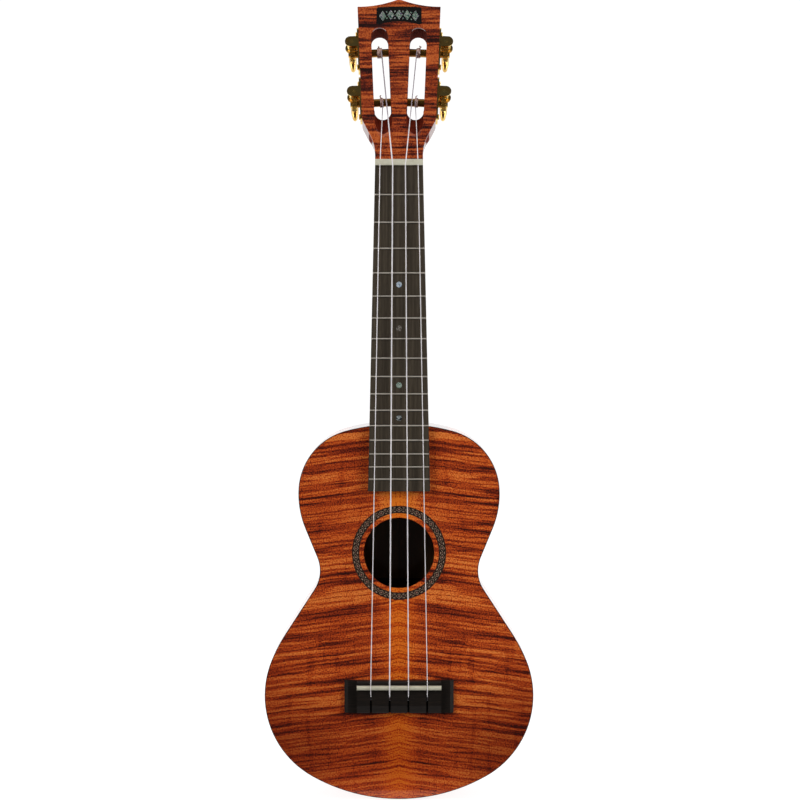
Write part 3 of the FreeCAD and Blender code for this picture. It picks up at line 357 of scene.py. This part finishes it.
def veneer_material():
    """Curly veneer on the headstock, with dark bars straight across."""
    tree = Tree("head_veneer")
    bar_period, bar_length, bar_cut, bar_depth = 10 * MM, 170 * MM, 71.0, 0.30
    x, y, z = tree.split(tree.position)
    along = tree.add(tree.times(z, math.cos(HEAD_TILT)), tree.times(y, math.sin(HEAD_TILT)))
    value = tree.add(flame(tree, x, along, periods=VENEER_PERIODS, reach=0.7, dark=1.15), 0.06)
    bars = streaks(tree, x, along, 0.0, bar_period, bar_length, bar_cut, 0.42, 0.47)
    value = tree.less(value, tree.times(tree.less(1.0, bars), bar_depth))
    stipple = pores(tree, PORE_SIZE, PORE_STRETCH)
    value = speckled(tree, tree.times(value, 0.98), stipple, 0.36)
    tree.set(Base_Color=tree.ramp(value, (
        (0.10, srgb(34, 13, 12)), (0.32, srgb(62, 22, 17)), (0.52, srgb(104, 36, 20)),
        (0.76, srgb(156, 62, 26)), (1.00, srgb(196, 98, 46)),
    )))
    lacquer(tree)
    tree.bump(stipple, PORE_BUMP, PORE_DEPTH)
    return tree.material


def shaded_inside_material():
    """Unfinished wood inside the body, in dark browns that paint the shade inside the closed body."""
    tree = Tree("inside_wood")
    grain = tree.noise(scaled(tree, 2 * MM, 2 * MM, 30 * MM), 1.0, 3.0)
    colour = tree.ramp(grain, ((0.3, srgb(44, 28, 18)), (0.7, srgb(66, 44, 30))))
    tree.set(Base_Color=colour, Roughness=0.85)
    return tree.material


def fingerboard_material():
    """Dark wood with fine fibres and streaks along the neck."""
    tree = Tree("fingerboard_wood")
    streak = tree.noise(scaled(tree, 2.4 * MM, 1.0, 110 * MM), 1.0, 3.0, 0.6)
    fibre = tree.noise(scaled(tree, 0.45 * MM, 0.45 * MM, 7 * MM), 1.0, 2.0, 0.7)
    value = tree.add(tree.times(streak, 0.7), tree.times(fibre, 0.3))
    colour = tree.ramp(value, ((0.3, srgb(44, 38, 30)), (0.5, srgb(66, 58, 48)), (0.7, srgb(88, 78, 64))))
    tree.set(Base_Color=colour, Roughness=tree.smooth(fibre, 0.3, 0.7, 0.52, 0.40), Specular_IOR_Level=0.2)
    tree.bump(fibre, 0.12, 0.15 * MM)
    return tree.material


def bridge_material():
    """Dark close-grained wood, its grain along the bridge."""
    tree = Tree("bridge_wood")
    fibre = tree.noise(scaled(tree, 9 * MM, 0.5 * MM, 0.6 * MM), 1.0, 3.0, 0.65)
    colour = tree.ramp(fibre, ((0.3, srgb(18, 14, 12)), (0.6, srgb(32, 26, 22)), (0.8, srgb(52, 42, 34))))
    tree.set(Base_Color=colour, Roughness=tree.smooth(fibre, 0.3, 0.7, 0.48, 0.36), Specular_IOR_Level=0.2)
    tree.bump(fibre, 0.12, 0.12 * MM)
    return tree.material


# ---------------------------------------------------------------- metals, bone, shell, nylon
def metal(name, light, dark, roughness, smear):
    """Plated metal with faint handling marks."""
    tree = Tree(name)
    marks = tree.noise(tree.position, 1 / (6 * MM), 3.0, 0.6)
    scratches = tree.noise(tree.position, 1 / (0.5 * MM), 2.0, 0.7)
    tree.set(Base_Color=tree.mix(tree.smooth(marks, 0.35, 0.7), light, dark), Metallic=1.0,
             Roughness=tree.add(tree.smooth(marks, 0.3, 0.7, roughness, roughness + smear),
                                tree.times(scratches, 0.05)))
    tree.bump(scratches, 0.03, 0.05 * MM)
    return tree.material


def fret_material():
    """Nickel, brushed along the crown, with a painted highlight where the crown faces the front and painted
    shade on the flanks beside the board.
    """
    tree = Tree("nickel")
    _, ny, _ = tree.split(tree.normal)
    crown_highlight = tree.smooth(tree.size(ny), 0.80, 0.96)
    tree.set(Base_Color=tree.mix(crown_highlight, srgb(104, 98, 90), srgb(214, 206, 194)), Metallic=1.0,
             Roughness=tree.add(0.45, tree.times(crown_highlight, 0.17)))
    return tree.material


def bone_material():
    """Pale bone with fine grain across the strings."""
    tree = Tree("bone")
    cloud = tree.noise(tree.position, 1 / (3 * MM), 3.0, 0.6)
    grain = tree.noise(scaled(tree, 4 * MM, 0.4 * MM, 0.4 * MM), 1.0, 2.0)
    value = tree.add(tree.times(cloud, 0.6), tree.times(grain, 0.4))
    colour = tree.ramp(value, ((0.3, srgb(186, 182, 160)), (0.7, srgb(214, 210, 190))))
    tree.set(Base_Color=colour, Roughness=0.34)
    return tree.material


ABALONE = (
    (0.26, srgb(26, 38, 60)), (0.38, srgb(50, 96, 92)), (0.48, srgb(118, 148, 120)),
    (0.55, srgb(206, 206, 196)), (0.62, srgb(104, 84, 128)), (0.74, srgb(34, 66, 58)),
)
# for each position dot, the lowest first: where in their row its colours start, its pale one and its deep
# one; these colours are partly the shell's own and partly painted reflection
DOT_STARTS = (0.0, 0.20, 0.50, 0.80)
DOT_PALE = (srgb(40, 46, 52), srgb(206, 220, 206), srgb(150, 142, 132), srgb(222, 232, 240))
DOT_DEEP = (srgb(190, 198, 196), srgb(122, 160, 138), srgb(96, 84, 78), srgb(164, 188, 214))
POLISH_COAT, POLISH_ROUGHNESS = 0.8, 0.08


def polish(tree, colour, roughness):
    """The colour under a hard polish."""
    tree.set(Base_Color=colour, Roughness=roughness)
    tree.set(Coat_Weight=POLISH_COAT, Coat_Roughness=POLISH_ROUGHNESS)
    return tree.material


def shell_finish(tree, colour):
    """Growth lines over the colour, and a polish."""
    lines = tree.smooth(tree.noise(tree.position, 1 / (0.8 * MM), 1.0, 0.5, 3.0), 0.42, 0.52, 1.0, 0.0)
    return polish(tree, tinted(tree, lines, colour, srgb(120, 126, 132)), 0.22)


def shell_material():
    """Abalone: patches of blue, green and violet that drift."""
    tree = Tree("shell")
    drift = tree.noise(tree.position, 1 / (2.2 * MM), 2.0, 0.6, 1.5)
    return shell_finish(tree, tree.ramp(drift, ABALONE))


def dots_material():
    """The position dots. Each has its own tints, picked by its height: partly the shell's own colour, partly
    a painted reflection, light or dark as that dot catches the light.
    """
    tree = Tree("dot_shell")
    _, _, z = tree.split(tree.position)
    drift = tree.noise(tree.position, 1 / (1.8 * MM), 2.0, 0.6, 1.2)
    low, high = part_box("position_dots")
    height = tree.over(tree.less(z, low[2]), high[2] - low[2])
    pale, deep = (tree.ramp(height, tuple(zip(DOT_STARTS, colours))) for colours in (DOT_PALE, DOT_DEEP))
    for colours in (pale, deep):
        colours.node.color_ramp.interpolation = "CONSTANT"
    return shell_finish(tree, tree.mix(tree.smooth(drift, 0.46, 0.58), pale, deep))


def nylon_material():
    """Nylon that is pale along the neck, and greyer with painted shade up in the headstock's slots."""
    tree = Tree("nylon")
    below_slots, in_slots = 16 * MM, 24 * MM
    cloud = tree.noise(tree.position, 1 / (5 * MM), 2.0)
    pale = tree.ramp(cloud, ((0.3, srgb(238, 232, 234)), (0.7, srgb(252, 248, 250))))
    _, _, z = tree.split(tree.position)
    # painted shade: the strings are greyer where they lie in the slots
    colour = tinted(tree, tree.smooth(z, below_slots, in_slots), pale, srgb(170, 162, 168))
    tree.set(Base_Color=colour, Roughness=0.4, Specular_IOR_Level=0.3)
    return tree.material


def winding_material():
    """Nylon wound over the gold roller, and its free end, in a warmer tint."""
    tree = Tree("nylon_turns")
    cloud = tree.noise(tree.position, 1 / (1.5 * MM), 2.0)
    colour = tree.ramp(cloud, ((0.35, srgb(196, 158, 146)), (0.65, srgb(232, 204, 192))))
    tree.set(Base_Color=colour, Roughness=0.35, Specular_IOR_Level=0.3)
    return tree.material


def inlay_material(name, low, high):
    """Small inlaid pieces: two close colours in fine clouds."""
    tree = Tree(name)
    cloud = tree.noise(tree.position, 1 / (1.2 * MM), 2.0)
    return polish(tree, tree.mix(tree.smooth(cloud, 0.35, 0.65), low, high), 0.25)


GOLD_LIGHT, GOLD_DARK = srgb(240, 208, 128), srgb(206, 158, 76)
MATERIALS = {
    "top_wood": top_material(),
    "body_wood": body_material(),
    "neck_wood": neck_material(),
    "head_veneer": veneer_material(),
    "inside_wood": shaded_inside_material(),
    "fingerboard_wood": fingerboard_material(),
    "bridge_wood": bridge_material(),
    "bone": bone_material(),
    "nickel": fret_material(),
    "shell": shell_material(),
    "rosette_inlay": inlay_material("rosette_inlay", srgb(26, 18, 14), srgb(52, 38, 30)),
    "inlay_black": inlay_material("inlay_black", srgb(9, 8, 8), srgb(18, 16, 15)),
    "gold_plate": metal("gold_plate", GOLD_LIGHT, GOLD_DARK, 0.12, 0.10),
    "gold_gear": metal("gold_gear", GOLD_LIGHT, GOLD_DARK, 0.18, 0.12),
    "gold_worm": metal("gold_worm", GOLD_LIGHT, GOLD_DARK, 0.16, 0.10),
    "gold_button": metal("gold_button", GOLD_LIGHT, GOLD_DARK, 0.10, 0.10),
    "gold_roller": metal("gold_roller", srgb(176, 128, 60), srgb(128, 88, 40), 0.20, 0.12),
    "gold_screw": metal("gold_screw", GOLD_LIGHT, GOLD_DARK, 0.16, 0.10),
    "nylon": nylon_material(),
    "bolt_steel": metal("bolt_steel", srgb(150, 150, 152), srgb(120, 120, 124), 0.3, 0.15),
}


TURNS = winding_material()
# nodes whose look differs from the rest of their material slot
NODE_MATERIALS = {"position_dots": dots_material(), **{f"winding_{which}": TURNS for which in TUNERS}}


def finish_nodes():
    """Give every node of the CAD model its finished material."""
    for part in frame["record"]["subparts"]:
        chosen = NODE_MATERIALS.get(part["node"], MATERIALS[part["material_slot"]])
        for material_slot in NODES[part["node"]].material_slots:
            material_slot.material = chosen


finish_nodes()


# ---------------------------------------------------------------- pieces that the CAD model leaves out
def piece(name, points, faces, material, body, smooth=False):
    """A mesh piece that rides on a body."""
    mesh = bpy.data.meshes.new(name)
    mesh.from_pydata(points, [], faces)
    mesh.validate()
    mesh.materials.append(material)
    for polygon in mesh.polygons:
        polygon.use_smooth = smooth
    item = bpy.data.objects.new(name, mesh)
    bpy.context.collection.objects.link(item)
    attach(item, body)


def diamond_corners(radius, angle, half, half_angle):
    """Four (radius, angle) pairs, clockwise from the one furthest out."""
    before, after = angle - half_angle, angle + half_angle
    return [(radius + half, angle), (radius, after), (radius - half, angle), (radius, before)]


class Inlays:
    """Thin prisms in the ring round the soundhole, from SUNK behind its face to PROUD in front of it."""

    PROUD, SUNK = 0.035 * MM, 0.05 * MM

    def __init__(self):
        self.points, self.faces = [], []

    def add(self, outline):
        """outline: (radius, angle) pairs, clockwise as seen from the front."""
        first, count = len(self.points), len(outline)
        for y in (HOLE_FACE - self.PROUD, HOLE_FACE + self.SUNK):
            self.points += [(r * math.sin(a), y, HOLE_Z + r * math.cos(a)) for r, a in outline]
        self.faces.append(tuple(first + k for k in reversed(range(count))))
        self.faces.append(tuple(first + count + k for k in range(count)))
        for k in range(count):
            after = (k + 1) % count
            self.faces.append((first + k, first + after, first + count + after, first + count + k))

    def diamond(self, *place_and_size):
        self.add(diamond_corners(*place_and_size))

    def diamond_frame(self, radius, angle, half, half_angle, width):
        """A diamond's border, as four bars."""
        outside = diamond_corners(radius, angle, half, half_angle)
        inside = diamond_corners(radius, angle, half - width, half_angle - width / radius)
        for k in range(4):
            after = (k + 1) % 4
            self.add((outside[k], outside[after], inside[after], inside[k]))

    def make(self, name, material, slot):
        piece(name, self.points, self.faces, material, "instrument")


def rosette_inlays():
    """A ring of framed diamonds with a heart in each. Between two of them are two short bars and a bead.

    A line of dashes runs inside the ring and outside it."""
    diamonds, ring, dashes, dash_rings = 30, 32.0 * MM, 120, (29.75 * MM, 34.25 * MM)
    diamond_half, border, heart_half, bead_half = 1.9 * MM, 0.42 * MM, 0.75 * MM, 0.34 * MM
    bar_half, bar_off, dash_half, dash_share = 0.42 * MM, 1.35 * MM, 0.09 * MM, 0.72
    step, dash_step = 2 * math.pi / diamonds, 2 * math.pi / dashes
    diamond_turn, heart_turn, bar_turn, bead_turn = (share * step for share in (0.40, 0.14, 0.17, 0.05))

    frames, hearts, lines = Inlays(), Inlays(), Inlays()
    for k in range(diamonds):
        angle = k * step
        between = angle + step / 2
        frames.diamond_frame(ring, angle, diamond_half, diamond_turn, border)
        hearts.diamond(ring, angle, heart_half, heart_turn)
        for side in (-1, 1):
            frames.diamond(ring + side * bar_off, between, bar_half, bar_turn)
        hearts.diamond(ring, between, bead_half, bead_turn)
    for radius in dash_rings:
        inner, outer = radius - dash_half, radius + dash_half
        for k in range(dashes):
            start, end = dash_step * k, dash_step * (k + dash_share)
            lines.add(((outer, start), (outer, end), (inner, end), (inner, start)))

    beige = inlay_material("rosette_beige", srgb(128, 104, 84), srgb(172, 148, 126))
    rose = inlay_material("rosette_rose", srgb(128, 86, 74), srgb(164, 122, 104))
    brown = inlay_material("rosette_brown", srgb(86, 60, 44), srgb(120, 90, 68))
    frames.make("rosette_diamonds", beige, "bone")
    hearts.make("rosette_hearts", rose, "bone")
    lines.make("rosette_lines", brown, "rosette_inlay")


def tube(centres, radius):
    """A round rod through the centres, closed by its two end faces."""
    sides = 10
    points, faces = [], []
    normal = None
    for k, centre in enumerate(centres):
        ahead = (centres[min(k + 1, len(centres) - 1)] - centres[max(k - 1, 0)]).normalized()
        normal = ahead.orthogonal() if normal is None else normal - ahead * normal.dot(ahead)
        normal.normalize()
        other = ahead.cross(normal)
        for n in range(sides):
            a = 2 * math.pi * n / sides
            points.append(centre + (normal * math.cos(a) + other * math.sin(a)) * radius)
    for k in range(len(centres) - 1):
        for n in range(sides):
            after = (n + 1) % sides
            faces.append((k * sides + n, k * sides + after, (k + 1) * sides + after, (k + 1) * sides + n))
    faces.append(tuple(reversed(range(sides))))
    faces.append(tuple((len(centres) - 1) * sides + n for n in range(sides)))
    return points, faces


# each string's free end: its radius, how far it rises, and how far it bends out from the centre of the head
STRING_ENDS = {
    "lower_left": (0.42 * MM, 2.2 * MM, 0.9 * MM), "lower_right": (0.38 * MM, 2.0 * MM, -0.8 * MM),
    "upper_left": (0.46 * MM, 1.3 * MM, 0.6 * MM), "upper_right": (0.42 * MM, 1.8 * MM, 1.6 * MM),
}


def string_ends():
    """The cut end of each string, which stands up out of its winding in a small curl."""
    before_axis, below_top, lean, bulge, steps = 1.0 * MM, 0.5 * MM, 0.6 * MM, 0.8 * MM, 12
    for which, (radius, rise, curl) in STRING_ENDS.items():
        low, high = (Vector(corner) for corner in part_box(f"winding_{which}"))
        out = 1.0 if which.endswith("right") else -1.0
        root = Vector(((low.x + high.x) / 2, (low.y + high.y) / 2 - before_axis, high.z - below_top))
        centres = []
        for k in range(steps + 1):
            share = k / steps
            bend = math.sin(math.pi * share)
            centres.append(root + Vector((out * (curl * bend + lean * share), -bulge * bend, rise * share)))
        points, faces = tube(centres, radius)
        piece(f"string_end_{which}", points, faces, TURNS, f"roller_{which}", smooth=True)


rosette_inlays()
string_ends()


# ---------------------------------------------------------------- studio
WHITE = (1.0, 1.0, 1.0, 1.0)
FLOOR_DROP = 0.4 * MM
FLOOR_GLOW, FLOOR_GREY = 0.90, (0.16, 0.16, 0.16)
FLOOR_FRONT, WALL_Y, WALL_HEIGHT, WALL_BEND, HALF_WIDTH = -0.03, 3.6, 3.0, 1.0, 4.5
FRONT_DARK, SURROUND = 0.05, 0.85
# by the y of a direction, which is -1 straight to the front
DARK_UP_TO, LIGHT_FROM = -0.62, -0.02


def studio_world():
    """A dark room in front and a light one behind. The camera itself sees white all round."""
    world = bpy.data.worlds.new("studio_world")
    world.use_nodes = True
    nodes, links = world.node_tree.nodes, world.node_tree.links
    background = nodes["Background"]
    coords = nodes.new("ShaderNodeTexCoord")
    split = nodes.new("ShaderNodeSeparateXYZ")
    blend = nodes.new("ShaderNodeMapRange")
    blend.interpolation_type = "SMOOTHSTEP"
    for socket, value in zip(blend.inputs[1:5], (DARK_UP_TO, LIGHT_FROM, FRONT_DARK, SURROUND)):
        socket.default_value = value
    links.new(coords.outputs["Generated"], split.inputs[0])
    links.new(split.outputs[1], blend.inputs[0])
    rays = nodes.new("ShaderNodeLightPath")
    seen = nodes.new("ShaderNodeMath")
    seen.operation = "MAXIMUM"
    links.new(rays.outputs["Is Camera Ray"], seen.inputs[0])
    links.new(blend.outputs[0], seen.inputs[1])
    links.new(seen.outputs[0], background.inputs["Strength"])
    background.inputs["Color"].default_value = WHITE
    bpy.context.scene.world = world


def backdrop():
    """A white floor that curves up into a wall behind the instrument."""
    floor_z = BODY_BOTTOM - FLOOR_DROP
    steps, bend_y = 12, WALL_Y - WALL_BEND
    profile = [(FLOOR_FRONT, floor_z), (bend_y, floor_z)]
    for step in range(1, steps + 1):
        a = math.pi / 2 * step / steps
        profile.append((bend_y + WALL_BEND * math.sin(a), floor_z + WALL_BEND * (1 - math.cos(a))))
    profile.append((WALL_Y, floor_z + WALL_HEIGHT))
    mesh = bpy.data.meshes.new("studio_floor")
    points = [(x, y, z) for y, z in profile for x in (-HALF_WIDTH, HALF_WIDTH)]
    faces = [(2 * k, 2 * k + 1, 2 * k + 3, 2 * k + 2) for k in range(len(profile) - 1)]
    mesh.from_pydata(points, [], faces)
    for polygon in mesh.polygons:
        polygon.use_smooth = True
    floor = bpy.data.objects.new("studio_floor", mesh)
    bpy.context.collection.objects.link(floor)
    tree = Tree("studio_white")
    tree.set(Base_Color=FLOOR_GREY, Roughness=0.9, Specular_IOR_Level=0.1)
    tree.set(Emission_Color=WHITE, Emission_Strength=FLOOR_GLOW)
    mesh.materials.append(tree.material)


def area_light(name, place, target, size, energy):
    light = bpy.data.lights.new(name, "AREA")
    light.shape = "RECTANGLE"
    light.size, light.size_y = size
    light.energy = energy
    item = bpy.data.objects.new(name, light)
    item.location = place
    item.rotation_euler = (Vector(target) - Vector(place)).to_track_quat("-Z", "Y").to_euler()
    bpy.context.collection.objects.link(item)


def lights():
    """Two soft lights in front at the sides, and two that shine on the wall."""
    middle, key_size, wall_size = (0.0, 0.0, -0.2), (0.9, 1.7), (0.8, 1.6)
    key_energy, wall_energy = 25.0, 22.0
    area_light("key_left", (-1.5, -1.5, 0.7), middle, key_size, key_energy)
    area_light("key_right", (1.6, -1.3, 0.4), middle, key_size, key_energy)
    area_light("wall_light_left", (-1.3, 0.5, 0.3), (-0.2, 1.6, 0.0), wall_size, wall_energy)
    area_light("wall_light_right", (1.3, 0.5, 0.3), (0.2, 1.6, 0.0), wall_size, wall_energy)


def camera():
    """In front, level with the seventh fret, looking down a little."""
    distance, half_view, sensor = 1.5, math.radians(11.03), 36.0
    eye_below_nut, centre_below_nut = 123.7 * MM, 171.2 * MM
    face_y, across = -6.4 * MM, 0.7 * MM
    data = bpy.data.cameras.new("camera")
    data.sensor_width = sensor
    data.lens = sensor / 2 / math.tan(half_view)
    data.clip_start = 0.01
    item = bpy.data.objects.new("camera", data)
    item.location = (across, face_y - distance, NUT_FRONT - eye_below_nut)
    target = Vector((across, face_y, NUT_FRONT - centre_below_nut))
    item.rotation_euler = (target - item.location).to_track_quat("-Z", "Y").to_euler()
    bpy.context.collection.objects.link(item)
    bpy.context.scene.camera = item


studio_world()
backdrop()
lights()
camera()
bpy.context.scene.view_settings.view_transform = "Standard"
